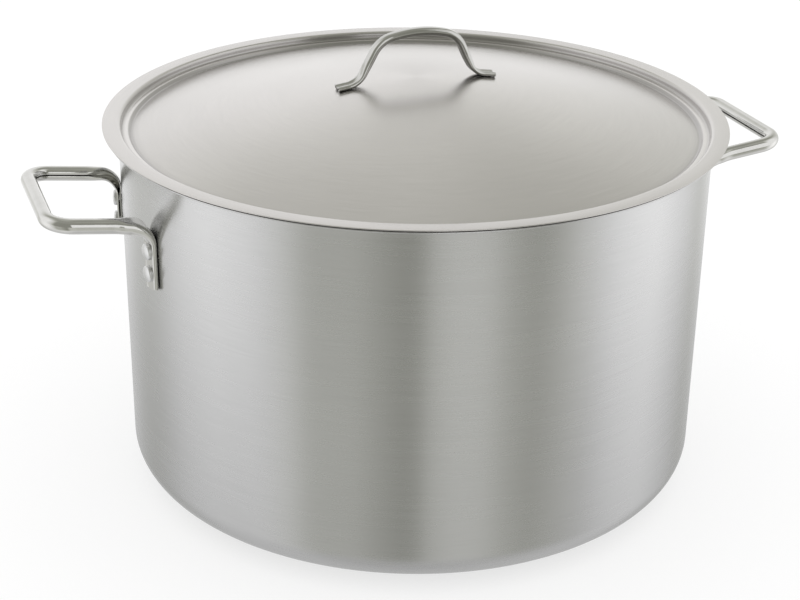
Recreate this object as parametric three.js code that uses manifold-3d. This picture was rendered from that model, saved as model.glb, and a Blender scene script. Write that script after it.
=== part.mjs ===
// A restaurant stock pot with a lid, all of stainless steel on an aluminium-cored base.
// Units are millimetres, +Z is up, and the origin is the centre of the face the pot stands on.
// The two side handles lie along X, and so does the handle on the lid.
import * as THREE from "three";
import { mergeVertices } from "three/addons/utils/BufferGeometryUtils.js";
import Module from "manifold-3d";

const wasm = await Module();
wasm.setup();

// ---- Driving dimensions ----

const POT_RADIUS = 200; // outside of the wall
const POT_HEIGHT = 253.8; // standing face to the top of the rim
const SHEET = 1; // wall, bottom and lid are all this thick
const CORNER_RADIUS = 23; // outside, wall to bottom
const RIM_WIDTH = 9; // how far the turned-out rim stands past the wall
const RIM_BEND = 2; // radius under the rim
const RIM_DROOP = 5; // degrees the rim falls outwards

const BASE_THICKNESS = 6; // sandwich base: capsule and core together
const CAP_RADIUS = 163;
const CAP_SHEET = 0.8;
const CAP_BEND = 2.5;
const CORE_GAP = 0.3; // between the core's edge and the capsule's wall

const LID_GAP = 0.2; // between the pot's rim and the lid's
const LID_RADIUS = 210.3;
const LID_STEP_TOP = 198; // where the flat rim turns down
const LID_STEP_FOOT = 197.5;
const LID_STEP_DEPTH = 5;
const LID_LEDGE_INNER = 193.4;
const DOME_RADIUS = 191.2;
const DOME_FOOT = -7.2; // from the lid's rim plane
const DOME_TOP = 25.3; // from the lid's rim plane
const DOME_SLOPE = 0.25; // the dome is a cone of this slope with a rounded tip

const TUBE = 10; // outside diameter of a side handle's tube
const TUBE_WALL = 1.2;
const TUBE_SEAM = 1; // the tube is rolled from sheet, with an open seam facing into the loop
const LUG_THICKNESS = 3.2; // the tube pressed flat
const ELBOW_SEAM = 6; // how far the seam opens where the tube starts to be pressed flat
const LUG_END = 82; // lug's lower end below the lid's rim plane
const ARM_HALF_SPACING = 49.1;
const ARM_DROP = 39.2; // arm's centre at the wall, below the lid's rim plane
const ARM_TILT = THREE.MathUtils.degToRad(6.8);
const GRIP_REACH = 257.6; // pot's axis to the grip's centre
const ELBOW_RADIUS = 13.5;
const GRIP_CORNER_RADIUS = 15;
const WALL_GAP = 0.3; // lug to wall

const RIVET_DROPS = [56.3, 71.5]; // below the lid's rim plane
const RIVET_SHANK = 2.5; // radius
const RIVET_HEAD = 5.4; // radius
const RIVET_HEAD_HEIGHT = 2.8;
const RIVET_TAIL_HEIGHT = 1.4; // the upset head inside the pot
const RIVET_CLEARANCE = 0.3;
const SEAT_GAP = 0.2; // under a rivet's head and under the lid handle's feet

const LID_HANDLE_WALL = 1;
const LID_HANDLE_STRIP = 17.2; // width of the strip it is rolled from
const LID_HANDLE_DEPTH = 4.4; // of the strip's middle line, along the arch
const LID_FOOT_DEPTH = 2; // the same, pressed flat at the feet
const LID_HANDLE_SEAM = 1.6; // open, under the arch
const LID_FOOT_SEAM = 3;
const LID_HANDLE_HALF = 56; // centre to the end of a foot
const LID_KNEE = 41.4; // where a foot's line meets its leg's line
const LID_SHOULDER = new THREE.Vector2(27.2, 52.3); // from the axis and the rim plane
const LID_CROWN = 58.1; // where the two top lines would meet
const LID_KNEE_RADIUS = 13.5;
const LID_SHOULDER_RADIUS = 18;
const LID_CROWN_RADIUS = 80;
const LID_HANDLE_LEAN = 0.04; // towards +X, for each millimetre above the feet

const ROUND_STEPS = 48; // facets round the pot and the lid
const RIVET_STEPS = 12;

// ---- Derived places ----

const RIM_PLANE = POT_HEIGHT + LID_GAP + SHEET; // top of the lid's flat rim
const TUBE_STRIP = (TUBE - TUBE_WALL) * Math.PI - TUBE_SEAM; // width of the strip a tube is rolled from
const LUG_CENTRE = POT_RADIUS + WALL_GAP + LUG_THICKNESS / 2;
const LUG_ANGLE = Math.asin(ARM_HALF_SPACING / LUG_CENTRE);

// ---- Outlines ----

const point = (x, y) => new THREE.Vector2(x, y);

// Points of an arc, angles in degrees, ends included.
function arc(x, y, radius, from, to, steps) {
  const points = [];
  for (let i = 0; i <= steps; i++) {
    const angle = THREE.MathUtils.degToRad(from + ((to - from) * i) / steps);
    points.push(point(x + radius * Math.cos(angle), y + radius * Math.sin(angle)));
  }
  return points;
}

// A line through corners, each inner corner rounded to its radius.
function rounded(corners, radii, steps) {
  const points = [corners[0]];
  for (let i = 1; i < corners.length - 1; i++) {
    const back = corners[i - 1].clone().sub(corners[i]).normalize();
    const on = corners[i + 1].clone().sub(corners[i]).normalize();
    const half = Math.acos(THREE.MathUtils.clamp(back.dot(on), -1, 1)) / 2;
    const radius = radii[i - 1];
    const middle = back.clone().add(on).normalize();
    const centre = middle.multiplyScalar(radius / Math.sin(half)).add(corners[i]);
    const tangent = radius / Math.tan(half);
    const start = back.multiplyScalar(tangent).add(corners[i]).sub(centre);
    const end = on.multiplyScalar(tangent).add(corners[i]).sub(centre);
    const turn = Math.atan2(start.cross(end), start.dot(end));
    for (let k = 0; k <= steps; k++) {
      points.push(start.clone().rotateAround(point(0, 0), (turn * k) / steps).add(centre));
    }
  }
  points.push(corners.at(-1));
  return points;
}

// The same line moved sideways by a distance, to the right of its direction if that is positive.
function offset(points, distance) {
  return points.map((here, i) => {
    const before = points[Math.max(i - 1, 0)];
    const after = points[Math.min(i + 1, points.length - 1)];
    const into = here.clone().sub(before).normalize();
    const onward = after.clone().sub(here).normalize();
    const along = into.clone().add(onward).normalize();
    const stretch = distance / along.dot(i > 0 ? into : onward);
    return point(here.x + along.y * stretch, here.y - along.x * stretch);
  });
}

// ---- Solids ----

// Turns a profile of (radius, height) about the Z axis.
function turned(profile, steps = ROUND_STEPS) {
  return new THREE.LatheGeometry(profile, steps).rotateX(Math.PI / 2);
}

function toSolid(geometry) {
  const bare = geometry.clone();
  bare.deleteAttribute("normal");
  bare.deleteAttribute("uv");
  const merged = mergeVertices(bare, 1e-3);
  return new wasm.Manifold(
    new wasm.Mesh({
      numProp: 3,
      vertProperties: new Float32Array(merged.attributes.position.array),
      triVerts: new Uint32Array(merged.index.array),
    }),
  );
}

function toGeometry(solid) {
  const mesh = solid.getMesh();
  const geometry = new THREE.BufferGeometry();
  geometry.setAttribute("position", new THREE.BufferAttribute(mesh.vertProperties, 3));
  geometry.setIndex(new THREE.BufferAttribute(mesh.triVerts, 1));
  const flat = geometry.toNonIndexed();
  flat.computeVertexNormals();
  return flat;
}

function drilled(geometry, drills) {
  let solid = toSolid(geometry);
  for (const drill of drills) solid = solid.subtract(toSolid(drill));
  return toGeometry(solid);
}

// A point of a flattened ring of the given depth and perimeter, and its outward normal. The distance
// round the ring starts at the end of the long axis and runs first towards the +y flat.
function flattenedRing(distance, depth, perimeter) {
  const radius = depth / 2;
  const straight = (perimeter - Math.PI * depth) / 2;
  const quarter = (Math.PI * radius) / 2;
  let rest = ((distance % perimeter) + perimeter) % perimeter;
  const onArc = (x, angle) => ({
    at: point(x + radius * Math.cos(angle), radius * Math.sin(angle)),
    out: point(Math.cos(angle), Math.sin(angle)),
  });
  if (rest < quarter) return onArc(straight / 2, rest / radius);
  rest -= quarter;
  if (rest < straight) return { at: point(straight / 2 - rest, radius), out: point(0, 1) };
  rest -= straight;
  if (rest < 2 * quarter) return onArc(-straight / 2, Math.PI / 2 + rest / radius);
  rest -= 2 * quarter;
  if (rest < straight) return { at: point(rest - straight / 2, -radius), out: point(0, -1) };
  rest -= straight;
  return onArc(straight / 2, (3 * Math.PI) / 2 + rest / radius);
}

// Distances from one lip of an open ring to where its outline needs points: half of them, the other
// half mirrors these. The seam is in the middle of a flat side, or at one of the tight ends.
function stopsFromFlat(quarter, straight, gap) {
  const lip = (straight - gap) / 2;
  const bend = 2 * quarter;
  return [0, lip, lip + bend / 3, lip + (2 * bend) / 3, lip + bend, lip + bend + straight / 3];
}

function stopsFromEnd(quarter, straight, gap) {
  const lip = quarter - gap / 2;
  return [0, lip, lip + straight / 2, lip + straight, lip + straight + (2 * quarter) / 3];
}

// Outline of a strip bent into an open flattened ring: out along the outer skin, back along the inner.
// "pressed" runs from 0, points spread evenly, to 1, points gathered where the ring bends.
function openRing({ depth, strip, gap, wall, pressed, seamInEnd }) {
  const perimeter = strip + gap;
  const quarter = (Math.PI * depth) / 4;
  const straight = perimeter / 2 - 2 * quarter;
  const half = seamInEnd ? stopsFromEnd(quarter, straight, gap) : stopsFromFlat(quarter, straight, gap);
  const stops = [...half, ...half.map((stop) => strip - stop).reverse()];
  const first = (seamInEnd ? 0 : perimeter / 4) + gap / 2;
  const outer = [];
  const inner = [];
  stops.forEach((stop, i) => {
    const even = (strip * i) / (stops.length - 1);
    const ring = flattenedRing(first + even + (stop - even) * pressed, depth, perimeter);
    outer.push(ring.at.clone().addScaledVector(ring.out, wall / 2));
    inner.push(ring.at.clone().addScaledVector(ring.out, -wall / 2));
  });
  return [...outer, ...inner.reverse()];
}

// Joins the outlines at a row of stations into one closed solid. An outline's first half is its outer
// skin and its second half its inner skin, so each end is closed by quads between the two.
function skinned(stations) {
  const count = stations[0].outline.length;
  const positions = [];
  for (const { at, side, back, outline } of stations) {
    for (const p of outline) {
      positions.push(...at.clone().addScaledVector(side, p.x).addScaledVector(back, p.y).toArray());
    }
  }
  const index = [];
  const quad = (a, b, c, d) => index.push(a, b, c, a, c, d);
  for (let s = 0; s < stations.length - 1; s++) {
    for (let i = 0; i < count; i++) {
      const j = (i + 1) % count;
      quad(s * count + i, s * count + j, (s + 1) * count + j, (s + 1) * count + i);
    }
  }
  const last = (stations.length - 1) * count;
  for (let i = 0; i < count / 2 - 1; i++) {
    const far = count - 1 - i;
    quad(i, far, far - 1, i + 1);
    quad(last + i, last + i + 1, last + far - 1, last + far);
  }
  const geometry = new THREE.BufferGeometry();
  geometry.setAttribute("position", new THREE.Float32BufferAttribute(positions, 3));
  geometry.setIndex(index);
  geometry.computeVertexNormals();
  return geometry;
}

// ---- Pot ----

function potBody() {
  const floor = BASE_THICKNESS;
  const centre = point(POT_RADIUS - CORNER_RADIUS, floor + CORNER_RADIUS);
  const bend = point(POT_RADIUS + RIM_BEND, POT_HEIGHT - SHEET - RIM_BEND);
  const rimAngle = 90 - RIM_DROOP;
  const under = arc(bend.x, bend.y, RIM_BEND, 180, rimAngle, 2);
  const over = arc(bend.x, bend.y, RIM_BEND + SHEET, rimAngle, 180, 3);
  const middle = under.at(-1).clone().lerp(over[0], 0.5);
  const lipX = POT_RADIUS + RIM_WIDTH - SHEET / 2;
  const fall = (lipX - middle.x) * Math.tan(THREE.MathUtils.degToRad(RIM_DROOP));
  const lip = point(lipX, middle.y - fall);
  const profile = [
    point(0, floor),
    ...arc(centre.x, centre.y, CORNER_RADIUS, -90, 0, 5),
    ...under,
    ...arc(lip.x, lip.y, SHEET / 2, -90 - RIM_DROOP, 90 - RIM_DROOP, 2),
    ...over,
    ...arc(centre.x, centre.y, CORNER_RADIUS - SHEET, 0, -90, 5),
    point(0, floor + SHEET),
  ];
  return drilled(turned(profile), rivetPlaces().map(rivetDrill));
}

function baseCore() {
  const radius = CAP_RADIUS - CAP_SHEET - CORE_GAP;
  const chamfer = CAP_BEND - CAP_SHEET;
  return turned([
    point(0, CAP_SHEET),
    point(radius - chamfer, CAP_SHEET),
    point(radius, CAP_SHEET + chamfer),
    point(radius, BASE_THICKNESS),
    point(0, BASE_THICKNESS),
  ]);
}

function baseCap() {
  const x = CAP_RADIUS - CAP_BEND;
  return turned([
    point(0, 0),
    ...arc(x, CAP_BEND, CAP_BEND, -90, 0, 2),
    point(CAP_RADIUS, BASE_THICKNESS),
    point(CAP_RADIUS - CAP_SHEET, BASE_THICKNESS),
    ...arc(x, CAP_BEND, CAP_BEND - CAP_SHEET, 0, -90, 2),
    point(0, CAP_SHEET),
  ]);
}

// ---- Side handles ----

// One station of a side handle. "side" points into the loop and "back" points up, or at the lug
// towards the wall. "pressed" is 0 on the round tube and 1 on the flat lug, and "opened" is the
// share of the widest opening of the seam, which faces into the loop all the way.
function tubeStation(at, side, back, pressed, opened) {
  const round = TUBE - TUBE_WALL;
  return {
    at,
    side,
    back,
    outline: openRing({
      depth: round + (LUG_THICKNESS - TUBE_WALL - round) * pressed,
      strip: TUBE_STRIP,
      gap: TUBE_SEAM + (ELBOW_SEAM - TUBE_SEAM) * opened,
      wall: TUBE_WALL,
      pressed,
      seamInEnd: true,
    }),
  };
}

// Stations from the middle of the grip to the end of the lug, on the +Y side, for a handle along +X.
function handleHalf() {
  const stations = [];
  const armAxis = new THREE.Vector3(Math.cos(ARM_TILT), 0, Math.sin(ARM_TILT));
  const up = new THREE.Vector3(-Math.sin(ARM_TILT), 0, Math.cos(ARM_TILT));
  const lugX = LUG_CENTRE * Math.cos(LUG_ANGLE);
  const elbowAt = new THREE.Vector3(lugX, ARM_HALF_SPACING, RIM_PLANE - ARM_DROP);
  const reach = (GRIP_REACH - lugX) / Math.cos(ARM_TILT);
  const gripCorner = elbowAt.clone().addScaledVector(armAxis, reach);

  // grip and its corner, in the tilted plane of the loop
  const inward = armAxis.clone().negate();
  const gripMiddle = gripCorner.clone().setY(0);
  stations.push(tubeStation(gripMiddle, inward, up, 0, 0));
  const cornerSteps = 4;
  const cornerCentre = gripCorner.clone().addScaledVector(armAxis, -GRIP_CORNER_RADIUS);
  cornerCentre.y -= GRIP_CORNER_RADIUS;
  for (let i = 0; i <= cornerSteps; i++) {
    const angle = (Math.PI / 2) * (i / cornerSteps);
    const out = armAxis.clone().multiplyScalar(Math.cos(angle));
    out.y = Math.sin(angle);
    const at = cornerCentre.clone().addScaledVector(out, GRIP_CORNER_RADIUS);
    stations.push(tubeStation(at, out.clone().negate(), up, 0, 0));
  }

  // elbow, turning down while the tube is pressed flat and turned to lie along the wall
  const turn = Math.PI / 2 - ARM_TILT;
  const tangent = ELBOW_RADIUS * Math.tan(turn / 2);
  const elbowStart = elbowAt.clone().addScaledVector(armAxis, tangent);
  const elbowCentre = elbowStart.clone().addScaledVector(up, -ELBOW_RADIUS);
  const lead = elbowAt.clone().addScaledVector(armAxis, tangent + TUBE);
  stations.push(tubeStation(lead, new THREE.Vector3(0, -1, 0), up, 0, 0));
  const elbowSteps = 6;
  for (let i = 0; i <= elbowSteps; i++) {
    const share = i / elbowSteps;
    const out = up.clone().applyAxisAngle(new THREE.Vector3(0, 1, 0), -turn * share);
    const facing = LUG_ANGLE * share;
    const along = new THREE.Vector3().crossVectors(new THREE.Vector3(0, 1, 0), out);
    const side = new THREE.Vector3(0, -1, 0).applyAxisAngle(along, facing);
    const back = out.clone().applyAxisAngle(along, facing);
    const at = elbowCentre.clone().addScaledVector(out, ELBOW_RADIUS);
    const pressed = 0.08 + 0.92 * Math.pow(share, 1.3);
    stations.push(tubeStation(at, side, back, pressed, Math.sin(Math.PI * (0.3 + 0.7 * share))));
  }

  // lug, straight down to its end
  const end = stations.at(-1);
  const foot = end.at.clone().setZ(RIM_PLANE - LUG_END);
  stations.push(tubeStation(foot, end.side, end.back, 1, 0));
  return stations;
}

function mirroredInY({ at, side, back, outline }) {
  const flip = (v) => v.clone().setY(-v.y);
  return { at: flip(at), side: flip(side), back: flip(back), outline };
}

// A handle along +X; angle turns it round the pot.
function sideHandle(angle) {
  const half = handleHalf();
  const stations = [...half.slice(1).map(mirroredInY).reverse(), ...half];
  const loop = skinned(stations).rotateZ(angle);
  return drilled(loop, rivetPlaces(angle).map(rivetDrill));
}

// ---- Rivets ----

// Bearing round the pot and height of each rivet. With no angle, those of both handles.
function rivetPlaces(angle) {
  const handles = angle === undefined ? [0, Math.PI] : [angle];
  const places = [];
  for (const handle of handles) {
    for (const side of [-1, 1]) {
      for (const drop of RIVET_DROPS) {
        places.push({ bearing: handle + side * LUG_ANGLE, height: RIM_PLANE - drop });
      }
    }
  }
  return places;
}

// Places a solid made along +Z, with z = distance from the pot's axis, at a rivet's place.
function atRivet(geometry, { bearing, height }) {
  return geometry.rotateY(Math.PI / 2).rotateZ(bearing).translate(0, 0, height);
}

function rivetDrill(place) {
  const length = 24;
  const drill = new THREE.CylinderGeometry(
    RIVET_SHANK + RIVET_CLEARANCE, RIVET_SHANK + RIVET_CLEARANCE, length, RIVET_STEPS,
  );
  return atRivet(drill.rotateX(Math.PI / 2).translate(0, 0, POT_RADIUS), place);
}

function rivet(place) {
  const seat = POT_RADIUS + WALL_GAP + LUG_THICKNESS + SEAT_GAP;
  const facetSag = POT_RADIUS * (1 - Math.cos(Math.PI / ROUND_STEPS));
  const tail = POT_RADIUS - SHEET - SEAT_GAP - facetSag;
  const edge = 0.9;
  const profile = [
    point(0, tail - RIVET_TAIL_HEIGHT),
    point(RIVET_HEAD - edge, tail - RIVET_TAIL_HEIGHT),
    point(RIVET_HEAD, tail),
    point(RIVET_SHANK, tail),
    point(RIVET_SHANK, seat),
    point(RIVET_HEAD, seat),
    point(RIVET_HEAD, seat + RIVET_HEAD_HEIGHT / 2),
    point(RIVET_HEAD - edge, seat + RIVET_HEAD_HEIGHT - 0.3),
    point(0, seat + RIVET_HEAD_HEIGHT),
  ];
  return atRivet(turned(profile, RIVET_STEPS), place);
}

// ---- Lid ----

// Height of the dome's upper face above the rim plane, at a radius.
function domeHeight(radius) {
  const fall = (DOME_TOP - DOME_FOOT) / DOME_SLOPE;
  const tip = (DOME_RADIUS ** 2 - fall ** 2) / (2 * fall);
  return DOME_TOP - DOME_SLOPE * (Math.hypot(radius, tip) - tip);
}

function lidDish() {
  const domeSteps = 6;
  const dome = [];
  for (let i = 0; i < domeSteps; i++) {
    const radius = (DOME_RADIUS * i) / domeSteps;
    dome.push(point(radius, domeHeight(radius)));
  }
  const edge = rounded(
    [
      dome.at(-1),
      point(DOME_RADIUS, DOME_FOOT),
      point(LID_LEDGE_INNER, -LID_STEP_DEPTH),
      point(LID_STEP_FOOT, -LID_STEP_DEPTH),
      point(LID_STEP_TOP, 0),
      point(LID_RADIUS, 0),
    ],
    [1.6, 1.4, 1.6, 2.6],
    1,
  );
  const upper = [...dome, ...edge.slice(1)];
  const lower = offset(upper, SHEET);
  lower[0].x = 0;
  const profile = [...lower, ...upper.reverse()];
  return turned(profile).translate(0, 0, RIM_PLANE);
}

// Stations of the lid handle from its middle to the end of the foot on the +X side.
function lidHandleHalf() {
  const footDepth = LID_FOOT_DEPTH + LID_HANDLE_WALL;
  const above = SEAT_GAP + footDepth / 2;
  const onDome = (x) => point(x, domeHeight(x) + above + 0.1);
  const crown = rounded(
    [point(-LID_SHOULDER.x, LID_SHOULDER.y), point(0, LID_CROWN), LID_SHOULDER],
    [LID_CROWN_RADIUS],
    4,
  ).slice(3, -1);
  const line = rounded(
    [crown.at(-1), LID_SHOULDER, onDome(LID_KNEE), onDome(LID_HANDLE_HALF)],
    [LID_SHOULDER_RADIUS, LID_KNEE_RADIUS],
    5,
  );
  const points = [...crown, ...line.slice(1)];
  return points.map((here, i) => {
    const before = points[i - 1] ?? point(-points[1].x, points[1].y);
    const after = points[i + 1] ?? here;
    const ahead = after.clone().sub(here).normalize();
    const along = here.clone().sub(before).normalize().add(ahead).normalize();
    const rise = here.y - domeHeight(LID_KNEE);
    const pressed = 1 - THREE.MathUtils.smoothstep(rise, 2, 14);
    return {
      at: new THREE.Vector3(here.x, 0, RIM_PLANE + here.y),
      side: new THREE.Vector3(0, -1, 0),
      back: new THREE.Vector3(along.y, 0, -along.x),
      outline: openRing({
        depth: LID_HANDLE_DEPTH + (LID_FOOT_DEPTH - LID_HANDLE_DEPTH) * pressed,
        strip: LID_HANDLE_STRIP,
        gap: LID_HANDLE_SEAM + (LID_FOOT_SEAM - LID_HANDLE_SEAM) * pressed,
        wall: LID_HANDLE_WALL,
        pressed: 1,
        seamInEnd: false,
      }),
    };
  });
}

function lidHandle() {
  const half = lidHandleHalf();
  const mirrored = half.slice(1).reverse().map((station) => ({
    at: station.at.clone().setX(-station.at.x),
    side: station.side,
    back: station.back.clone().setX(-station.back.x),
    outline: station.outline,
  }));
  const stations = [...mirrored, ...half];
  const feet = RIM_PLANE + domeHeight(LID_KNEE) + 2;
  for (const { at } of stations) {
    at.x += LID_HANDLE_LEAN * Math.max(at.z - feet, 0);
  }
  return skinned(stations);
}

// ---- Assembly ----

const steel = (name, color, roughness) =>
  new THREE.MeshStandardMaterial({ name, color, roughness, metalness: 1 });
const satin = steel("satin_steel", 0xc4c4c1, 0.34);
const lidSatin = steel("lid_satin_steel", 0xcbc9c5, 0.3);
const polished = steel("polished_steel", 0xd0cec6, 0.16);
const rivetMetal = steel("rivet_steel", 0xd6d6d4, 0.38);
const aluminium = steel("core_aluminium", 0xc9cbce, 0.5);
const capSteel = steel("cap_steel", 0xbdbdba, 0.4);

const pot = new THREE.Group();
const lid = new THREE.Group();

function add(group, name, geometry, material) {
  const mesh = new THREE.Mesh(geometry, material);
  mesh.name = name;
  group.add(mesh);
}

add(pot, "pot_body", potBody(), satin);
add(pot, "base_core", baseCore(), aluminium);
add(pot, "base_cap", baseCap(), capSteel);

const handles = [
  { name: "right", angle: 0 },
  { name: "left", angle: Math.PI },
];
for (const { name, angle } of handles) {
  add(pot, `${name}_handle`, sideHandle(angle), polished);
  rivetPlaces(angle).forEach((place, i) => {
    const end = Math.sin(place.bearing) < 0 ? "front" : "back";
    const level = i % 2 === 0 ? "upper" : "lower";
    add(pot, `${name}_rivet_${end}_${level}`, rivet(place), rivetMetal);
  });
}

add(lid, "lid_dish", lidDish(), lidSatin);
add(lid, "lid_handle", lidHandle(), polished);

const assembly = new THREE.Group();
assembly.add(pot, lid);
export default assembly;
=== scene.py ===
from math import acos, asin, atan2, cos, degrees, hypot, pi, radians, sin, sqrt, tan

import bpy
from mathutils import Euler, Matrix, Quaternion, Vector


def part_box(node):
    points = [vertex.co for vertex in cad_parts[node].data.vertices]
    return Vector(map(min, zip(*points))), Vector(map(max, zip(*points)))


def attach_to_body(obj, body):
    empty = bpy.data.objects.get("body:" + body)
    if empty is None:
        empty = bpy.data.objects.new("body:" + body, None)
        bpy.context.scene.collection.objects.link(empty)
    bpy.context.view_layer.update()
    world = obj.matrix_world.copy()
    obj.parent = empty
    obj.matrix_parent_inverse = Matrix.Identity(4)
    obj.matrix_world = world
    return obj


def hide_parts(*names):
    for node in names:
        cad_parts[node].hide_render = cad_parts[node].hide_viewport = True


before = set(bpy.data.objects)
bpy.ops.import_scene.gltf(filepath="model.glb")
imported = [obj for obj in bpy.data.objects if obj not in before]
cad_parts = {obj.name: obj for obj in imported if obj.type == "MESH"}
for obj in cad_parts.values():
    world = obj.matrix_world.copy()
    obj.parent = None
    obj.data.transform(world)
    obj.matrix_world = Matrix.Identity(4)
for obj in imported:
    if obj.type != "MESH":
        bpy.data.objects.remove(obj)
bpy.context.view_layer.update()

# Lengths in this file are millimetres in the CAD frame, and piece() turns them into metres.
MM = 0.001

# ---- Places read from the frame ----


def box_mm(node):
    """A CAD node's lowest and highest corners, in millimetres."""
    low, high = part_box(node)
    return low / MM, high / MM


pot_low, pot_high = box_mm("pot_body")
_, lid_high = box_mm("lid_dish")
_, lid_handle_high = box_mm("lid_handle")
handle_low, _ = box_mm("right_handle")
cap_low, cap_high = box_mm("base_cap")
core_low, core_high = box_mm("base_core")
rivet_low, rivet_high = box_mm("right_rivet_back_upper")

# ---- Pot and lid ----

SHEET = 1.0
RIM_RADIUS = pot_high.x
RIM_WIDTH = 9.0
WALL_RADIUS = RIM_RADIUS - RIM_WIDTH
RIM_BEND = 2.0
RIM_DROOP = radians(5)
CORNER_RADIUS = 23.0
FLOOR = pot_low.z
RIM_TOP = pot_high.z

LID_RADIUS = lid_high.x
DOME_TOP = 25.3  # above the rim plane
RIM_PLANE = lid_high.z - DOME_TOP  # top of the lid's flat rim
LID_STEP_TOP = 198.0  # where the flat rim turns down
LID_STEP_FOOT = 197.5
LID_STEP_DEPTH = 5.0
LID_LEDGE_INNER = 193.4
LID_EDGE = 0.6  # thickness of the lid's outer edge
LID_EDGE_TAPER = 2.5  # width over which the rim thins to that edge
DOME_RADIUS = 191.2
DOME_FOOT = -7.2  # from the rim plane
DOME_SLOPE = 0.25  # the dome is a cone of this slope with a rounded tip
LID_FILLETS = (1.6, 1.4, 1.6, 2.8)  # in the groove, at the ledge, at the step's foot and top

CAP_SHEET = 0.8
CAP_BEND = 2.5
CAP_CHAMFER = 0.15

# ---- Side handles and rivets ----

TUBE = 10.0
TUBE_WALL = 1.2
TUBE_SEAM = 1.0
TUBE_STRIP = (TUBE - TUBE_WALL) * pi - TUBE_SEAM
ELBOW_SEAM = 6.5  # widest opening of the seam
ELBOW_ROLL = radians(16)
WALL_GAP = 0.3
LUG_THICKNESS = 3.2
LUG_CENTRE = WALL_RADIUS + WALL_GAP + LUG_THICKNESS / 2
LUG_GROOVE = 0.2
LUG_GROOVE_WIDTH = 5.2
LUG_NIP = 1.2  # length over which the corners of a lug's end are rounded
ARM_HALF_SPACING = 49.1
LUG_ANGLE = asin(ARM_HALF_SPACING / LUG_CENTRE)
ARM_TILT = radians(6.8)
ARM_OPENING = 11.0  # length of arm over which the seam opens before the elbow
ARM_PRESSED = 0.1  # how far the tube is pressed flat where the elbow starts
ARM_OPENED = 0.8
GRIP_REACH = 257.6
ARM_DROP = 39.2  # below the rim plane
ELBOW_RADIUS = 13.5
GRIP_CORNER_RADIUS = 15.0
LUG_FOOT = handle_low.z

RIVET_RADIUS = 5.4
RIVET_SHANK = 2.5
RIVET_HEAD_HEIGHT = 2.8
RIVET_TAIL_HEIGHT = 1.4
RIVET_SEAT = WALL_RADIUS + WALL_GAP + LUG_THICKNESS - LUG_GROOVE
RIVET_PITCH = 15.2
RIVET_UPPER = (rivet_low.z + rivet_high.z) / 2
RIVET_LEVELS = {"upper": RIVET_UPPER, "lower": RIVET_UPPER - RIVET_PITCH}

# ---- Lid handle ----

LID_STRIP = 17.2  # width of the strip it is rolled from
LID_WALL = 1.0
LID_DEPTH = 4.4  # of the strip's middle line, along the arch
LID_FOOT_DEPTH = 2.0
LID_SEAM = 1.6
LID_FOOT_SEAM = 3.0
LID_FOOT_GROOVE = 0.95
LID_FOOT_GROOVE_WIDTH = 2.6
LID_FOOT_SLANT = 0.2  # how far a foot's slanted end reaches past its middle line
LID_HANDLE_HALF = lid_handle_high.x - LID_FOOT_SLANT
LID_KNEE = 41.4  # where a foot's line meets its leg's line
LID_SHOULDER = Vector((27.2, 52.3))
LID_CROWN = 58.1  # where the two top lines would meet
LID_KNEE_RADIUS = 13.5
LID_SHOULDER_RADIUS = 18.0
LID_CROWN_RADIUS = 80.0
LID_PRESSED = (2.0, 16.0)  # heights above the dome between which the pressing fades out
LID_LEAN = 0.04  # towards +X, for each millimetre above the feet
LID_LEAN_START = 2.0
SEAT_GAP = 0.2

# ---- Fineness ----

ROUND_STEPS = 288
TUBE_STEPS = 40
PATH_STEP = 0.9
RIVET_STEPS = 48
BEND_STEPS = 8
CORNER_STEPS = 18
WALL_RINGS = 24
FLOOR_RINGS = 8
DOME_STEPS = 44
FILLET_STEPS = 10
CROWN_STEPS = 24
LEG_STEPS = 16
GLOW_STEPS = 96

# ---- View ----

VIEW_AZIMUTH = radians(-20.22)
VIEW_PITCH = radians(24.8)
VIEW_ROLL = radians(0.82)
VIEW_PLACE = (-0.3885, -1.0292, 0.6228)
VIEW_LENS = 76.46


# ================= Outlines =================


def arc(x, y, radius, start, end, steps):
    """Points of an arc, angles in degrees, ends included."""
    angles = [radians(start + (end - start) * i / steps) for i in range(steps + 1)]
    return [Vector((x + radius * cos(a), y + radius * sin(a))) for a in angles]


def rounded(corners, radii, steps):
    """A line through corners, each inner corner rounded to its radius."""
    points = [corners[0]]
    for before, corner, after, radius in zip(corners, corners[1:], corners[2:], radii):
        back = (before - corner).normalized()
        onward = (after - corner).normalized()
        half = acos(max(-1.0, min(1.0, back.dot(onward)))) / 2
        centre = corner + (back + onward).normalized() * (radius / sin(half))
        start = corner + back * (radius / tan(half)) - centre
        end = corner + onward * (radius / tan(half)) - centre
        first = atan2(start.y, start.x)
        turn = (atan2(end.y, end.x) - first + pi) % (2 * pi) - pi
        for k in range(steps + 1):
            angle = first + turn * k / steps
            points.append(centre + Vector((cos(angle), sin(angle))) * radius)
    points.append(corners[-1])
    return points


def sideways(points, distance):
    """The same line moved to the right of its direction."""
    moved = []
    for i, here in enumerate(points):
        before = points[max(i - 1, 0)]
        after = points[min(i + 1, len(points) - 1)]
        into = (here - before).normalized() if i else (after - here).normalized()
        onward = (after - here).normalized() if i < len(points) - 1 else into
        along = (into + onward).normalized()
        reach = distance / along.dot(into)
        moved.append(Vector((here.x + along.y * reach, here.y - along.x * reach)))
    return moved


def smoothstep(value, low, high):
    t = max(0.0, min(1.0, (value - low) / (high - low)))
    return t * t * (3 - 2 * t)


def evenly(points, step):
    """Points along a line, no further apart than step, with the line's own corners kept."""
    out = [points[0]]
    for a, b in zip(points, points[1:]):
        pieces = max(1, int((b - a).length / step + 0.5))
        out += [a.lerp(b, (k + 1) / pieces) for k in range(pieces)]
    return out


# ================= Meshes =================


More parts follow.
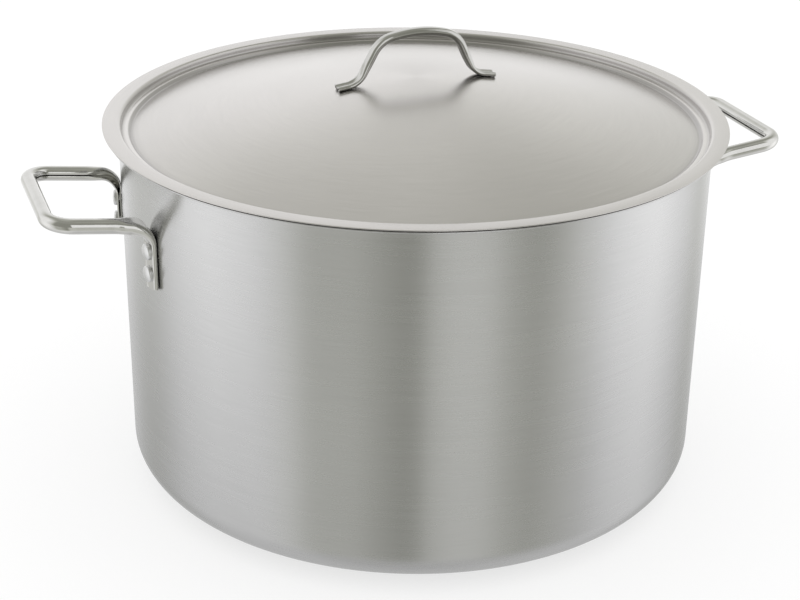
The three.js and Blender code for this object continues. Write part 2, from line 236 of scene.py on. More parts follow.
def piece(name, points, faces, material, sharp_angle=40):
    """A smooth-shaded mesh object from points in millimetres."""
    mesh = bpy.data.meshes.new(name)
    mesh.from_pydata([tuple(c * MM for c in p) for p in points], [], faces)
    mesh.materials.append(material)
    mesh.shade_smooth()
    mesh.set_sharp_from_angle(angle=radians(sharp_angle))
    made = bpy.data.objects.new(name, mesh)
    bpy.context.scene.collection.objects.link(made)
    return made


def turned(name, profile, material, steps=ROUND_STEPS, sharp_angle=40):
    """Turns a profile of (radius, height) about Z. Points on the axis become one point each."""
    points = []
    rings = []
    for radius, height in profile:
        if radius < 1e-6:
            rings.append([len(points)] * steps)
            points.append((0.0, 0.0, height))
            continue
        rings.append([len(points) + k for k in range(steps)])
        for k in range(steps):
            angle = 2 * pi * k / steps
            points.append((radius * cos(angle), radius * sin(angle), height))
    faces = []
    for lower, upper in zip(rings, rings[1:]):
        for k in range(steps):
            j = (k + 1) % steps
            corners = [lower[k], lower[j], upper[j], upper[k]]
            face = list(dict.fromkeys(corners))
            if len(face) > 2:
                faces.append(face)
    return piece(name, points, faces, material, sharp_angle)


def skinned(name, stations, material, sharp_angle=40):
    """Joins closed outlines at a row of stations. An outline's first half is its outer skin and its
    second half its inner skin, so each end is closed by quads between the two."""
    count = len(stations[0][3])
    points = []
    for place, side, back, outline in stations:
        points += [place + side * p.x + back * p.y for p in outline]
    faces = []
    for s in range(len(stations) - 1):
        for i in range(count):
            j = (i + 1) % count
            faces.append([s * count + i, s * count + j, (s + 1) * count + j, (s + 1) * count + i])
    last = (len(stations) - 1) * count
    for i in range(count // 2 - 1):
        far = count - 1 - i
        faces.append([i, far, far - 1, i + 1])
        faces.append([last + i, last + i + 1, last + far - 1, last + far])
    return piece(name, points, faces, material, sharp_angle)


# ================= Materials =================


class Shader:
    """A node tree that is built a node at a time."""

    def __init__(self, tree):
        self.tree = tree
        tree.nodes.clear()

    def add(self, kind, inputs=None, **settings):
        node = self.tree.nodes.new(kind)
        for key, value in settings.items():
            setattr(node, key, value)
        for key, value in (inputs or {}).items():
            if isinstance(value, bpy.types.NodeSocket):
                self.tree.links.new(value, node.inputs[key])
            else:
                node.inputs[key].default_value = value
        return node

    def math(self, operation, a, b=0.0, c=0.0):
        node = self.add("ShaderNodeMath", {0: a, 1: b, 2: c}, operation=operation)
        return node.outputs[0]

    def vector(self, x, y, z):
        return self.add("ShaderNodeCombineXYZ", {0: x, 1: y, 2: z}).outputs[0]

    def noise(self, vector, scale, detail=2.0, roughness=0.5):
        inputs = {"Vector": vector, "Scale": scale, "Detail": detail, "Roughness": roughness}
        return self.add("ShaderNodeTexNoise", inputs).outputs[0]

    def remap(self, value, low, high, to_low, to_high, kind="LINEAR"):
        inputs = {0: value, 1: low, 2: high, 3: to_low, 4: to_high}
        return self.add("ShaderNodeMapRange", inputs, interpolation_type=kind).outputs[0]

    def blend(self, share, a, b):
        """A mix of two colours."""
        node = self.add("ShaderNodeMix", {0: share, 6: a, 7: b}, data_type="RGBA")
        return node.outputs[2]

    def ramp(self, value, stops):
        """Grey levels at places from 0 to 1."""
        node = self.add("ShaderNodeValToRGB", {0: value})
        elements = node.color_ramp.elements
        while len(elements) > 1:
            elements.remove(elements[-1])
        for i, (place, level) in enumerate(stops):
            element = elements[0] if i == 0 else elements.new(place)
            element.position = place
            element.color = (level, level, level, 1.0)
        return node.outputs[0]


def new_material(name):
    material = bpy.data.materials.new(name)
    material.use_nodes = True
    return material, Shader(material.node_tree)


def finish_metal(s, colour, roughness, normal, anisotropy=0.0, tangent=None):
    inputs = {
        "Base Color": colour,
        "Metallic": 1.0,
        "Roughness": roughness,
        "Normal": normal,
        "Anisotropic": anisotropy,
    }
    if tangent:
        inputs["Tangent"] = tangent
        inputs["Anisotropic Rotation"] = 0.25
    surface = s.add("ShaderNodeBsdfPrincipled", inputs)
    s.add("ShaderNodeOutputMaterial", {"Surface": surface.outputs[0]})


def brushed_steel(name, tone, roughness, anisotropy, along_radius, painted_light=()):
    """Steel brushed in rings round Z: on the wall the lines follow the height, on a flat disc the radius.
    The last argument lists (radius in millimetres, share of light) for painted light by radius: painted
    shade in pressed folds and grooves, a painted highlight on a ledge, and a painted fall-off of the shine
    outwards."""
    material, s = new_material(name)
    place = s.add("ShaderNodeTexCoord").outputs["Object"]
    x, y, z = s.add("ShaderNodeSeparateXYZ", {0: place}).outputs
    flat = s.vector(x, y, 0.0)
    radius = s.add("ShaderNodeVectorMath", {0: flat}, operation="LENGTH").outputs["Value"]
    around = s.add("ShaderNodeVectorMath", {0: flat}, operation="NORMALIZE").outputs["Vector"]
    ax, ay, _ = s.add("ShaderNodeSeparateXYZ", {0: around}).outputs
    across = radius if along_radius else z

    def rings(per_turn, per_metre):
        """A place stretched along the rings."""
        along_x = s.math("MULTIPLY", ax, per_turn)
        along_y = s.math("MULTIPLY", ay, per_turn)
        return s.vector(along_x, along_y, s.math("MULTIPLY", across, per_metre))

    # fine scratches are about 0.4 mm apart, streaks about 4 mm
    fine = s.noise(rings(9.0, 2400.0), 1.0, 4.0, 0.62)
    streak = s.noise(rings(2.2, 260.0), 1.0, 3.0, 0.5)
    cloud = s.noise(place, 9.0, 3.0, 0.5)
    smear = s.noise(place, 34.0, 4.0, 0.6)
    scratched = s.remap(fine, 0.25, 0.75, -0.036, 0.036)
    streaked = s.remap(streak, 0.3, 0.7, -0.01, 0.01)
    clouded = s.remap(cloud, 0.3, 0.7, -0.015, 0.015)
    light = s.math("ADD", scratched, s.math("ADD", streaked, clouded))
    shade = s.math("ADD", light, 1.0)
    # painted light: the share by radius multiplies the colour, as painted shade and painted highlight
    if painted_light:
        first = painted_light[0][0]
        last = painted_light[-1][0]
        place_in_painted_light = s.remap(radius, first * MM, last * MM, 0.0, 1.0)
        stops = [((r - first) / (last - first), level) for r, level in painted_light]
        shade = s.math("MULTIPLY", shade, s.ramp(place_in_painted_light, stops))
    colour = s.add("ShaderNodeVectorMath", {0: tone, 3: shade}, operation="SCALE").outputs["Vector"]
    rough = s.math("ADD", streaked, roughness)
    rough = s.math("ADD", rough, s.remap(smear, 0.35, 0.7, -0.005, 0.007))
    bump = s.add("ShaderNodeBump", {"Strength": 0.055, "Distance": 0.00003, "Height": fine})
    tangent = s.add("ShaderNodeTangent", direction_type="RADIAL", axis="Z").outputs[0]
    finish_metal(s, colour, rough, bump.outputs[0], anisotropy, tangent)
    return material


def polished_steel(name, tone, roughness, painted_underside_shade=1.0):
    """Tumbled and polished bar: soft waviness, small pits and short scratches. Faces that look down
    keep the given share of their colour, as painted shade on their undersides."""
    material, s = new_material(name)
    place = s.add("ShaderNodeTexCoord").outputs["Object"]
    waves = s.noise(place, 110.0, 2.0, 0.4)
    grain = s.noise(place, 1500.0, 3.0, 0.6)
    pits = s.add("ShaderNodeTexVoronoi", {"Vector": place, "Scale": 260.0}, feature="F1").outputs["Distance"]
    pit = s.remap(pits, 0.0, 0.07, 1.0, 0.0, "SMOOTHSTEP")
    height = s.math("SUBTRACT", waves, s.math("MULTIPLY", pit, 0.25))
    bump = s.add("ShaderNodeBump", {"Strength": 0.3, "Distance": 0.0003, "Height": height})
    fine = s.add("ShaderNodeBump", {
        "Strength": 0.12, "Distance": 0.00002, "Height": grain, "Normal": bump.outputs[0]})
    shade = s.math("ADD", s.remap(waves, 0.3, 0.7, -0.03, 0.03), 1.0)
    shade = s.math("SUBTRACT", shade, s.math("MULTIPLY", pit, 0.2))
    # painted shade: faces that look down are darkened
    facing = s.add("ShaderNodeNewGeometry").outputs["Normal"]
    _, _, upwards = s.add("ShaderNodeSeparateXYZ", {0: facing}).outputs
    shade = s.math("MULTIPLY", shade, s.remap(upwards, -0.35, 0.1, painted_underside_shade, 1.0, "SMOOTHSTEP"))
    colour = s.add("ShaderNodeVectorMath", {0: tone, 3: shade}, operation="SCALE").outputs["Vector"]
    rough = s.math("ADD", s.remap(grain, 0.3, 0.7, -0.02, 0.04), roughness)
    finish_metal(s, colour, rough, fine.outputs[0])
    return material


BODY = brushed_steel("body_steel", (0.62, 0.62, 0.62), 0.27, 0.85, False)
# Painted light on the lid by radius: painted shade in the groove and at the step, a painted highlight on the
# ledge, and a painted fall-off of the shine outwards.
LID_PAINTED_LIGHT = (
    (70.0, 1.03), (110.0, 1.02), (150.0, 0.98), (186.0, 0.97), (189.5, 0.88), (190.6, 0.7),
    (191.8, 0.6), (192.9, 0.66), (193.8, 1.14), (195.4, 1.1), (196.6, 0.85), (197.4, 0.62),
    (197.9, 0.66), (198.8, 1.0),
)
LID = brushed_steel("lid_steel", (0.672, 0.652, 0.635), 0.23, 0.75, True, LID_PAINTED_LIGHT)
BASE = brushed_steel("base_steel", (0.58, 0.575, 0.56), 0.38, 0.6, True)
CORE = brushed_steel("core_aluminium", (0.7, 0.71, 0.72), 0.45, 0.3, False)
HANDLE = polished_steel("handle_steel", (0.68, 0.675, 0.655), 0.08)
# The lid handle's faces that look down keep half their colour: painted shade.
LID_BRIDGE = polished_steel("lid_handle_steel", (0.58, 0.575, 0.555), 0.09, 0.5)
RIVET = polished_steel("rivet_steel", (0.74, 0.74, 0.74), 0.3)


def attach(made, body, slot, *nodes):
    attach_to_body(made, body)
    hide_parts(*nodes)


# ================= Pot =================


def rim_outline():
    """The rim from the outside of the wall round its lip to the inside, sloping down outwards."""
    bend = Vector((WALL_RADIUS + RIM_BEND, RIM_TOP - SHEET - RIM_BEND))
    droop = degrees(RIM_DROOP)
    outer = arc(bend.x, bend.y, RIM_BEND, 180, 90 - droop, BEND_STEPS)
    inner = arc(bend.x, bend.y, RIM_BEND + SHEET, 90 - droop, 180, BEND_STEPS)
    middle = (outer[-1] + inner[0]) / 2
    run = (RIM_RADIUS - SHEET / 2 - middle.x) / cos(RIM_DROOP)
    lip = middle + Vector((cos(RIM_DROOP), -sin(RIM_DROOP))) * run
    return outer + arc(lip.x, lip.y, SHEET / 2, -90 - droop, 90 - droop, BEND_STEPS) + inner


def wall_levels():
    """Heights at which the plain wall gets a ring, so that its faces stay near square."""
    low = FLOOR + CORNER_RADIUS
    high = RIM_TOP - SHEET - RIM_BEND
    return [low + (high - low) * k / WALL_RINGS for k in range(1, WALL_RINGS)]


def build_pot_body():
    corner = Vector((WALL_RADIUS - CORNER_RADIUS, FLOOR + CORNER_RADIUS))
    floor_radii = [WALL_RADIUS * k / FLOOR_RINGS for k in range(1, FLOOR_RINGS - 1)]
    profile = [(0.0, FLOOR)]
    profile += [(r, FLOOR) for r in floor_radii]
    profile += arc(corner.x, corner.y, CORNER_RADIUS, -90, 0, CORNER_STEPS)
    profile += [(WALL_RADIUS, z) for z in wall_levels()]
    profile += rim_outline()
    profile += [(WALL_RADIUS - SHEET, z) for z in reversed(wall_levels())]
    profile += arc(corner.x, corner.y, CORNER_RADIUS - SHEET, 0, -90, CORNER_STEPS)
    profile += [(r, FLOOR + SHEET) for r in reversed(floor_radii)]
    profile += [(0.0, FLOOR + SHEET)]
    attach(turned("pot_shell", profile, BODY), "pot", "body_steel", "pot_body")


def build_base():
    top = cap_high.z
    outer = cap_high.x
    bend_x = outer - CAP_BEND
    rings = [bend_x * k / FLOOR_RINGS for k in range(1, FLOOR_RINGS)]
    cap = [(0.0, cap_low.z)]
    cap += [(r, cap_low.z) for r in rings]
    cap += arc(bend_x, CAP_BEND, CAP_BEND, -90, 0, BEND_STEPS)
    cap += [(outer, top - CAP_CHAMFER), (outer - CAP_CHAMFER, top), (outer - CAP_SHEET, top)]
    cap += arc(bend_x, CAP_BEND, CAP_BEND - CAP_SHEET, 0, -90, BEND_STEPS)
    cap += [(0.0, CAP_SHEET)]
    attach(turned("base_capsule", cap, BASE), "pot", "base_steel", "base_cap")
    radius = core_high.x
    chamfer = CAP_BEND - CAP_SHEET
    core = [(0.0, core_low.z), (radius - chamfer, core_low.z)]
    core += arc(radius - chamfer, core_low.z + chamfer, chamfer, -90, 0, 4)[1:]
    core += [(radius, core_high.z), (0.0, core_high.z)]
    attach(turned("base_disc", core, CORE), "pot", "core_aluminium", "base_core")


# ================= Rolled strip =================


def flattened_ring(distance, depth, perimeter):
    """A point and outward normal on a flattened ring. The distance starts at an end of the long
    axis and runs first towards the +y flat."""
    radius = depth / 2
    quarter = pi * radius / 2
    straight = perimeter / 2 - 2 * quarter
    rest = distance % perimeter

    def on_arc(x, angle):
        out = Vector((cos(angle), sin(angle)))
        return Vector((x, 0.0)) + out * radius, out

    if rest < quarter:
        return on_arc(straight / 2, rest / radius)
    rest -= quarter
    if rest < straight:
        return Vector((straight / 2 - rest, radius)), Vector((0.0, 1.0))
    rest -= straight
    if rest < 2 * quarter:
        return on_arc(-straight / 2, pi / 2 + rest / radius)
    rest -= 2 * quarter
    if rest < straight:
        return Vector((rest - straight / 2, -radius)), Vector((0.0, -1.0))
    rest -= straight
    return on_arc(straight / 2, 3 * pi / 2 + rest / radius)


def rolled_outline(depth, strip, gap, wall, seam_in_end, groove, groove_width):
    """Outline of a strip rolled into an open flattened ring, with a groove pressed into the flat
    that lies on the -y side. The outer skin comes first, and the lips are rounded."""
    thinnest = 0.04  # square of the least share of the wall left at a lip
    perimeter = strip + gap
    first = (0.0 if seam_in_end else perimeter / 4) + gap / 2
    outer = []
    inner = []
    for i in range(TUBE_STEPS + 1):
        share = i / TUBE_STEPS
        place, out = flattened_ring(first + strip * share, depth, perimeter)
        half = wall / 2
        edge = min(share, 1 - share) * strip
        if edge < half:
            half = sqrt(max(half * half - (half - edge) ** 2, thinnest * half * half))
        press = groove * (1 - smoothstep(abs(place.x), groove_width * 0.55, groove_width))
        if place.y > 0:
            press = 0.0
        shift = Vector((0.0, press))
        outer.append(place + out * half + shift)
        inner.append(place - out * half + shift)
    return outer + inner[::-1]


# ================= Side handles =================


def tube_station(place, side, back, pressed, opened, narrow=1.0):
    """One cross-section of a side handle. "side" points into the loop and "back" points up, or at
    the lug towards the wall. "pressed" is 0 on the tube and 1 on the lug, and "opened" is the
    share of the widest opening of the seam."""
    round_depth = TUBE - TUBE_WALL
    depth = round_depth + (LUG_THICKNESS - TUBE_WALL - round_depth) * pressed
    gap = TUBE_SEAM + (ELBOW_SEAM - TUBE_SEAM) * opened
    groove = LUG_GROOVE * smoothstep(pressed, 0.6, 1.0)
    outline = rolled_outline(depth, TUBE_STRIP, gap, TUBE_WALL, True, groove, LUG_GROOVE_WIDTH)
    outline = [Vector((p.x * narrow, p.y)) for p in outline]
    return place, side, back, outline


def straight_stations(start, end, side, back, values):
    """Stations from start to end; values(share) gives pressed, opened and narrow."""
    count = max(2, int((end - start).length / PATH_STEP))
    return [
        tube_station(start.lerp(end, k / count), side, back, *values(k / count))
        for k in range(1, count + 1)
    ]


def handle_half():
    """Stations from the middle of the grip to the end of the lug, on the +Y side, along +X."""
    y_axis = Vector((0.0, 1.0, 0.0))
    arm = Vector((cos(ARM_TILT), 0.0, sin(ARM_TILT)))
    up = Vector((-sin(ARM_TILT), 0.0, cos(ARM_TILT)))
    lug_x = LUG_CENTRE * cos(LUG_ANGLE)
    elbow = Vector((lug_x, ARM_HALF_SPACING, RIM_PLANE - ARM_DROP))
    corner = elbow + arm * ((GRIP_REACH - lug_x) / cos(ARM_TILT))
    plain = (0.0, 0.0, 1.0)

    # grip and its corner, in the tilted plane of the loop
    middle = Vector((corner.x, 0.0, corner.z))
    corner_centre = corner - arm * GRIP_CORNER_RADIUS - y_axis * GRIP_CORNER_RADIUS
    grip_end = corner_centre + arm * GRIP_CORNER_RADIUS
    stations = [tube_station(middle, -arm, up, *plain)]
    stations += straight_stations(middle, grip_end, -arm, up, lambda share: plain)
    corner_steps = 20
    for k in range(1, corner_steps + 1):
        angle = pi / 2 * k / corner_steps
        out = arm * cos(angle) + y_axis * sin(angle)
        stations.append(tube_station(corner_centre + out * GRIP_CORNER_RADIUS, -out, up, *plain))

    # arm, whose seam starts to open before the elbow
    turn = pi / 2 - ARM_TILT
    tangent = ELBOW_RADIUS * tan(turn / 2)
    elbow_start = elbow + arm * tangent
    arm_start = stations[-1][0]
    length = (elbow_start - arm_start).length

    def along_arm(share):
        near = smoothstep(share * length, length - ARM_OPENING, length)
        return ARM_PRESSED * near, ARM_OPENED * near, 1.0

    arm_stations = straight_stations(arm_start, elbow_start, -y_axis, up, along_arm)
    for place, side, back, outline in arm_stations:
        near = smoothstep((place - arm_start).length, length - ARM_OPENING, length)
        spin = Quaternion(arm, -ELBOW_ROLL * near)
        stations.append((place, spin @ side, spin @ back, outline))

    # elbow, turning down while the tube is pressed flat and turned to lie along the wall
    elbow_centre = elbow_start - up * ELBOW_RADIUS
    elbow_steps = 26
    for k in range(1, elbow_steps + 1):
        share = k / elbow_steps
        out = Quaternion(y_axis, -turn * share) @ up
        along = y_axis.cross(out)
        facing = Quaternion(along, LUG_ANGLE * share - ELBOW_ROLL * (1 - smoothstep(share, 0, 0.8)))
        pressed = ARM_PRESSED + (1 - ARM_PRESSED) * share**1.3
        # the seam opens on from the arm's share to its widest, then closes on the lug
        opened = sin(pi * (0.295 + 0.705 * share))
        place = elbow_centre + out * ELBOW_RADIUS
        stations.append(tube_station(place, facing @ -y_axis, facing @ out, pressed, opened))

    # lug, straight down; its corners are nipped off over the last stretch
    place, side, back, _ = stations[-1]
    foot = Vector((place.x, place.y, LUG_FOOT))
    drop = place.z - LUG_FOOT

    def along_lug(share):
        left = (1 - share) * drop
        inside = max(0.0, 1 - left / LUG_NIP)
        return 1.0, 0.0, 1.0 - 0.3 * (1 - sqrt(1 - inside * inside))

    return stations + straight_stations(place, foot, side, back, along_lug)


def build_side_handle(name, angle):
    half = handle_half()

    def mirrored(station):
        place, side, back, outline = station
        flip = Vector((1.0, -1.0, 1.0))
        return place * flip, side * flip, back * flip, outline

    spin = Quaternion((0.0, 0.0, 1.0), angle)
    stations = [mirrored(s) for s in reversed(half[1:])] + half
    stations = [(spin @ p, spin @ s, spin @ b, o) for p, s, b, o in stations]
    made = skinned(f"{name}_loop", stations, HANDLE, 50)
    attach(made, "pot", "handle_steel", f"{name}_handle")


# ================= Rivets =================


def rivet_profile():
    """(radius, distance from the pot's axis), inner head first."""
    inside = WALL_RADIUS - SHEET
    tail_edge = 0.25
    chamfer = 0.2
    shoulder = 1.3
    crown = 0.55
    steps = 8
    profile = [(0.0, inside - RIVET_TAIL_HEIGHT)]
    for k in range(1, steps + 1):
        angle = pi / 2 * k / steps
        height = RIVET_TAIL_HEIGHT * cos(angle) ** 0.6 if k < steps else tail_edge
        profile.append((RIVET_RADIUS * sin(angle), inside - height))
    profile += [(RIVET_RADIUS, inside), (RIVET_SHANK, inside), (RIVET_SHANK, RIVET_SEAT)]
    profile += [(RIVET_RADIUS - chamfer, RIVET_SEAT), (RIVET_RADIUS, RIVET_SEAT + chamfer)]
    top = RIVET_SEAT + RIVET_HEAD_HEIGHT + LUG_GROOVE + SEAT_GAP
    flat = RIVET_RADIUS - shoulder
    base = top - crown - shoulder
    profile += [(flat + p.x, base + p.y) for p in arc(0.0, 0.0, shoulder, 0, 82, 10)]
    for k in range(1, steps + 1):
        share = 1 - k / steps
        profile.append((flat * share, top - crown * share * share))
    return profile


def build_rivets(name, angle):
    for end, side in (("front", -1), ("back", 1)):
        # the left handle is the right one turned half round, so its +Y lug is at the front
        facing = side if name == "right" else -side
        bearing = angle + facing * LUG_ANGLE
        for level, height in RIVET_LEVELS.items():
            node = f"{name}_rivet_{end}_{level}"
            made = turned(f"{node}_head", rivet_profile(), RIVET, RIVET_STEPS)
            made.data.transform(Euler((0.0, pi / 2, 0.0)).to_matrix().to_4x4())
            made.data.transform(Euler((0.0, 0.0, bearing)).to_matrix().to_4x4())
            for vertex in made.data.vertices:
                vertex.co.z += height * MM
            attach(made, "pot", "rivet_steel", node)


# ================= Lid =================


def dome_height(radius):
    """Height of the dome above the rim plane."""
    fall = (DOME_TOP - DOME_FOOT) / DOME_SLOPE
    tip = (DOME_RADIUS**2 - fall**2) / (2 * fall)
    return DOME_TOP - DOME_SLOPE * (hypot(radius, tip) - tip)


def build_lid_dish():
    dome_radii = [DOME_RADIUS * k / DOME_STEPS for k in range(DOME_STEPS)]
    dome = [Vector((r, dome_height(r))) for r in dome_radii]
    lip = LID_EDGE / 2
    edge = rounded(
        [
            dome[-1],
            Vector((DOME_RADIUS, DOME_FOOT)),
            Vector((LID_LEDGE_INNER, -LID_STEP_DEPTH)),
            Vector((LID_STEP_FOOT, -LID_STEP_DEPTH)),
            Vector((LID_STEP_TOP, 0.0)),
            Vector((LID_RADIUS - lip, 0.0)),
        ],
        LID_FILLETS,
        FILLET_STEPS,
    )
    upper = dome + edge[1:]
    lower = sideways(upper, SHEET)
    lower[0].x = 0.0
    lower[-1] = Vector((LID_RADIUS - LID_EDGE_TAPER, -SHEET))
    rim = arc(LID_RADIUS - lip, -lip, lip, -90, 90, BEND_STEPS)[:-1]
    profile = lower + rim + upper[::-1]
    profile = [(p.x, p.y + RIM_PLANE) for p in profile]
    attach(turned("lid_shell", profile, LID), "lid", "lid_steel", "lid_dish")


def lid_handle_line():
    """Middle line of the handle from its centre to the end of a foot, above the rim plane."""
    lift = SEAT_GAP + (LID_FOOT_DEPTH + LID_WALL) / 2

    def on_dome(x):
        return Vector((x, dome_height(x) + lift))

    mirrored = Vector((-LID_SHOULDER.x, LID_SHOULDER.y))
    crown_ends = [mirrored, Vector((0.0, LID_CROWN)), LID_SHOULDER]
    crown = rounded(crown_ends, [LID_CROWN_RADIUS], CROWN_STEPS)
    # the line starts with a corner, so the arc's middle comes one after half its steps
    middle = Vector((0.0, crown[CROWN_STEPS // 2 + 1].y))
    crown = [middle] + [p for p in crown[1:-1] if p.x > 0.5]
    line = rounded(
        [crown[-1], LID_SHOULDER, on_dome(LID_KNEE), on_dome(LID_HANDLE_HALF)],
        [LID_SHOULDER_RADIUS, LID_KNEE_RADIUS],
        LEG_STEPS,
    )
    return evenly(crown + line[1:], PATH_STEP)


def build_lid_handle():
    line = lid_handle_line()
    half = []
    for i, here in enumerate(line):
        before = line[i - 1] if i else Vector((-line[1].x, line[1].y))
        after = line[i + 1] if i < len(line) - 1 else here + (here - line[i - 1])
        along = (after - before).normalized()
        rise = here.y - dome_height(LID_KNEE)
        pressed = 1 - smoothstep(rise, *LID_PRESSED)
        outline = rolled_outline(
            LID_DEPTH + (LID_FOOT_DEPTH - LID_DEPTH) * pressed,
            LID_STRIP,
            LID_SEAM + (LID_FOOT_SEAM - LID_SEAM) * pressed,
            LID_WALL,
            False,
            LID_FOOT_GROOVE * pressed,
            LID_FOOT_GROOVE_WIDTH,
        )
        place = Vector((here.x, 0.0, RIM_PLANE + here.y))
        half.append((place, Vector((0.0, -1.0, 0.0)), Vector((along.y, 0.0, -along.x)), outline))
    flip = Vector((-1.0, 1.0, 1.0))
    mirrored = [(p * flip, s, b * flip, o) for p, s, b, o in reversed(half[1:])]
    feet = RIM_PLANE + dome_height(LID_KNEE) + LID_LEAN_START
    stations = mirrored + half
    for place, *_ in stations:
        place.x += LID_LEAN * max(place.z - feet, 0.0)
    made = skinned("lid_bridge", stations, LID_BRIDGE, 50)
    attach(made, "lid", "handle_steel", "lid_handle")


# ================= Studio =================


# Brightness of the studio just below the horizon, by bearing from the camera, in degrees, right positive.
STUDIO_BANDS = (
    (-180, 1.15), (-152, 1.05), (-133, 0.78), (-118, 0.81), (-100, 1.12), (-82, 1.22), (-66, 1.1),
    (-50, 0.82), (-40, 0.55), (-22, 0.54), (-12, 0.42), (-2, 0.31), (3, 0.36), (7, 0.57), (17, 0.67),
    (28, 0.66), (38, 0.5), (48, 0.42), (58, 0.58), (70, 0.81), (84, 1.14), (104, 1.33), (122, 1.06),
    (140, 0.74), (158, 1.0), (180, 1.15),
)
# The same from just above the horizon to head height: the side with the camera is dark.
STUDIO_WALLS = (
    (-180, 1.15), (-140, 1.05), (-80, 1.15), (-58, 0.8), (-44, 0.34), (62, 0.3), (80, 1.05),
    (180, 1.15),
)
# Brightness of the backdrop, by elevation in degrees.
STUDIO_BACK = (
    (0, 1.08), (12, 1.01), (22, 1.0), (32, 0.97), (38, 0.86), (44, 0.7), (50, 0.57), (58, 0.52),
    (90, 0.45),
)
# Share of that light left high up, by the rightward part of the direction, which has length 1.
STUDIO_SIDES_REACH = 0.4
STUDIO_SIDES = (
    (-0.4, 0.76), (-0.25, 0.84), (-0.17, 0.98), (0.0, 1.02), (0.07, 1.0), (0.16, 0.89), (0.28, 0.82),
    (0.4, 0.78),
)
BACK_ON_THE_RIGHT = 0.74  # share of the backdrop's light at the right end of that reach
CEILING_LEVEL = 0.38
TABLE_LEVEL = 1.1  # straight down
LEVEL_SCALE = 2.0  # ramps hold 0 to 1
# Share of that light the table gives back, by distance from the pot's axis in millimetres: the pot's
# own shade, in front of it for steep rays, and at its sides, where it reaches further out.
TABLE_SHADE = (
    (150, 0.32), (172, 0.36), (182, 0.5), (240, 0.54), (330, 0.8), (450, 1.0), (900, 1.0),
)
SIDE_SHADE = (
    (150, 0.42), (172, 0.48), (182, 0.6), (250, 0.66), (400, 0.72), (520, 0.83), (750, 1.0),
    (900, 1.0),
)

# Soft boxes near the camera, as (left, right, bottom, top) in the plane CARD_PLACE in front of the pot.
CARDS = {"front_card": (-250.0, 150.0, 270.0, 1000.0), "right_card": (650.0, 1700.0, 130.0, 1500.0)}
CARD_PLACE = -1000.0
CARD_LEVEL = 1.05

EVEN_LEVEL = 1.12  # brightness of the world for all rays but glossy ones


def studio_light(s, direction):
    """Brightness of the studio in a direction, and that direction's angles from the front and from
    the level."""
    turned_to_view = s.add("ShaderNodeVectorRotate", {
        "Vector": direction, "Axis": (0.0, 0.0, 1.0), "Angle": -VIEW_AZIMUTH}).outputs[0]
    x, y, z = s.add("ShaderNodeSeparateXYZ", {0: turned_to_view}).outputs
    bearing = s.math("ARCTAN2", x, s.math("MULTIPLY", y, -1.0))
    elevation = s.math("ARCSINE", z)

    def over_bearing(levels):
        place = s.remap(bearing, -pi, pi, 0.0, 1.0)
        return s.ramp(place, [(b / 360 + 0.5, level / LEVEL_SCALE) for b, level in levels])

    def plain(level):
        share = level / LEVEL_SCALE
        return (share, share, share, 1.0)

    def rising(low, high):
        return s.remap(elevation, radians(low), radians(high), 0.0, 1.0, "SMOOTHSTEP")

    off_front = s.math("ABSOLUTE", bearing)
    behind = s.remap(off_front, radians(105), radians(140), 0.0, 1.0, "SMOOTHSTEP")
    upwards = s.remap(elevation, 0.0, pi / 2, 0.0, 1.0)
    back = s.ramp(upwards, [(e / 90, level / LEVEL_SCALE) for e, level in STUDIO_BACK])
    reach = STUDIO_SIDES_REACH
    falling_off = s.remap(x, 0.0, reach, 1.0, BACK_ON_THE_RIGHT)
    back = s.add("ShaderNodeVectorMath", {0: back, 3: falling_off}, operation="SCALE").outputs["Vector"]
    across = s.remap(x, -reach, reach, 0.0, 1.0)
    sides = s.ramp(across, [((place + reach) / (2 * reach), share) for place, share in STUDIO_SIDES])
    sides = s.blend(rising(14, 44), (1.0, 1.0, 1.0, 1.0), sides)
    back = s.add("ShaderNodeVectorMath", {0: back, 1: sides}, operation="MULTIPLY").outputs["Vector"]
    walls = s.blend(rising(40, 75), over_bearing(STUDIO_WALLS), plain(CEILING_LEVEL))
    high = s.blend(behind, walls, back)
    low = s.blend(rising(-64, -34), plain(TABLE_LEVEL), over_bearing(STUDIO_BANDS))
    brightness = s.math("MULTIPLY", s.blend(rising(-2, 8), low, high), LEVEL_SCALE)
    return brightness, off_front, elevation


def studio_tint(s, brightness):
    """Dim light in the studio is a little green, bright light is white."""
    return s.blend(brightness, (0.985, 1.0, 0.83, 1.0), (1.0, 1.0, 1.0, 1.0))


def studio_world():
    """Even white light for everything but reflections, which see a studio of pale and dark walls."""
    world = bpy.data.worlds.new("studio")
    bpy.context.scene.world = world
    world.use_nodes = True
    s = Shader(world.node_tree)
    brightness, _, _ = studio_light(s, s.add("ShaderNodeTexCoord").outputs["Generated"])
    tint = studio_tint(s, brightness)
    reflected = s.add("ShaderNodeBackground", {"Color": tint, "Strength": brightness})
    even = s.add("ShaderNodeBackground", {"Color": (1.0, 1.0, 1.0, 1.0), "Strength": EVEN_LEVEL})
    path = s.add("ShaderNodeLightPath")
    shader = s.add("ShaderNodeMixShader", {
        0: path.outputs["Is Glossy Ray"], 1: even.outputs[0], 2: reflected.outputs[0]})
    s.add("ShaderNodeOutputWorld", {"Surface": shader.outputs[0]})


def only_in_reflections(made):
    """Makes an object part of the stage, seen by nothing but glossy rays."""
    made.visible_camera = False
    made.visible_diffuse = False
    made.visible_transmission = False
    made.visible_shadow = False


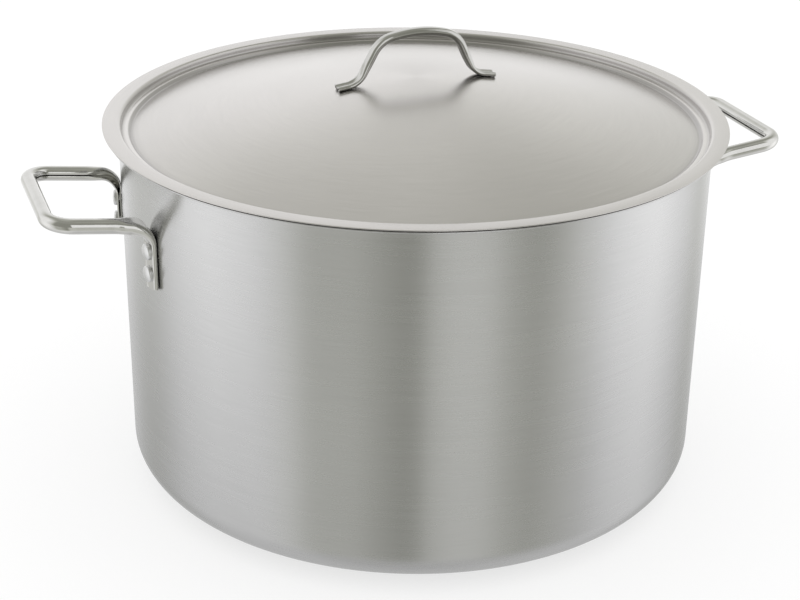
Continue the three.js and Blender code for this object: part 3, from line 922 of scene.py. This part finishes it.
def build_table_glow():
    """The table round the pot as its reflections see it, shaded near the pot."""
    material, s = new_material("table_glow")
    geometry = s.add("ShaderNodeNewGeometry").outputs
    away = s.add("ShaderNodeVectorMath", {0: geometry["Incoming"], 3: -1.0}, operation="SCALE")
    brightness, off_front, elevation = studio_light(s, away.outputs["Vector"])
    flat = s.add("ShaderNodeVectorMath", {0: geometry["Position"], 1: (1.0, 1.0, 0.0)}, operation="MULTIPLY")
    distance = s.add("ShaderNodeVectorMath", {0: flat.outputs[0]}, operation="LENGTH").outputs["Value"]
    near = TABLE_SHADE[0][0]
    far = TABLE_SHADE[-1][0]
    place = s.remap(distance, near * MM, far * MM, 0.0, 1.0)

    def shade_by_distance(levels):
        return s.ramp(place, [((r - near) / (far - near), share) for r, share in levels])

    ahead = shade_by_distance(TABLE_SHADE)
    shallow = s.remap(elevation, radians(-60), radians(-34), 0.0, 1.0, "SMOOTHSTEP")
    ahead = s.blend(shallow, ahead, (1.0, 1.0, 1.0, 1.0))
    aside = shade_by_distance(SIDE_SHADE)
    beside = s.remap(off_front, radians(38), radians(78), 0.0, 1.0, "SMOOTHSTEP")
    shade = s.blend(beside, ahead, aside)
    shaded = s.math("MULTIPLY", brightness, shade)
    glow = s.add("ShaderNodeEmission", {"Color": studio_tint(s, brightness), "Strength": shaded})
    s.add("ShaderNodeOutputMaterial", {"Surface": glow.outputs[0]})
    only_in_reflections(turned("table_glow", [(far, 0.0), (near, 0.0)], material, GLOW_STEPS))


def build_cards():
    """The soft boxes, which only reflections see."""
    material, s = new_material("soft_box")
    glow = s.add("ShaderNodeEmission", {"Color": (1.0, 1.0, 1.0, 1.0), "Strength": CARD_LEVEL})
    s.add("ShaderNodeOutputMaterial", {"Surface": glow.outputs[0]})
    for name, (left, right, bottom, top) in CARDS.items():
        corners = [(left, bottom), (right, bottom), (right, top), (left, top)]
        card = piece(name, [(x, CARD_PLACE, z) for x, z in corners], [[0, 1, 2, 3]], material)
        only_in_reflections(card)


def build_floor():
    """A pale floor whose own glow keeps the shadow on it pale too."""
    size = 6000.0
    steps = 6
    points = []
    for i in range(steps + 1):
        for j in range(steps + 1):
            points.append((size * (i / steps - 0.5), size * (j / steps - 0.5), 0.0))
    row = steps + 1
    faces = [
        [i * row + j, (i + 1) * row + j, (i + 1) * row + j + 1, i * row + j + 1]
        for i in range(steps)
        for j in range(steps)
    ]
    material, s = new_material("pale_floor")
    surface = s.add("ShaderNodeBsdfPrincipled", {
        "Base Color": (0.34, 0.34, 0.34, 1.0), "Roughness": 0.9, "Specular IOR Level": 0.0,
        "Emission Color": (1.0, 1.0, 1.0, 1.0), "Emission Strength": 0.66})
    s.add("ShaderNodeOutputMaterial", {"Surface": surface.outputs[0]})
    floor = piece("floor", points, faces, material)
    floor.visible_glossy = False


def place_camera():
    data = bpy.data.cameras.new("camera")
    data.lens = VIEW_LENS
    data.sensor_width = 36.0
    data.clip_start = 0.01
    camera = bpy.data.objects.new("camera", data)
    bpy.context.scene.collection.objects.link(camera)
    camera.location = VIEW_PLACE
    aim = Euler((pi / 2 - VIEW_PITCH, 0.0, VIEW_AZIMUTH)).to_quaternion()
    camera.rotation_mode = "QUATERNION"
    camera.rotation_quaternion = aim @ Quaternion((0.0, 0.0, 1.0), VIEW_ROLL)
    bpy.context.scene.camera = camera


build_pot_body()
build_base()
for name, angle in (("right", 0.0), ("left", pi)):
    build_side_handle(name, angle)
    build_rivets(name, angle)
build_lid_dish()
build_lid_handle()
studio_world()
build_table_glow()
build_cards()
build_floor()
place_camera()
bpy.context.scene.view_settings.view_transform = "Standard"
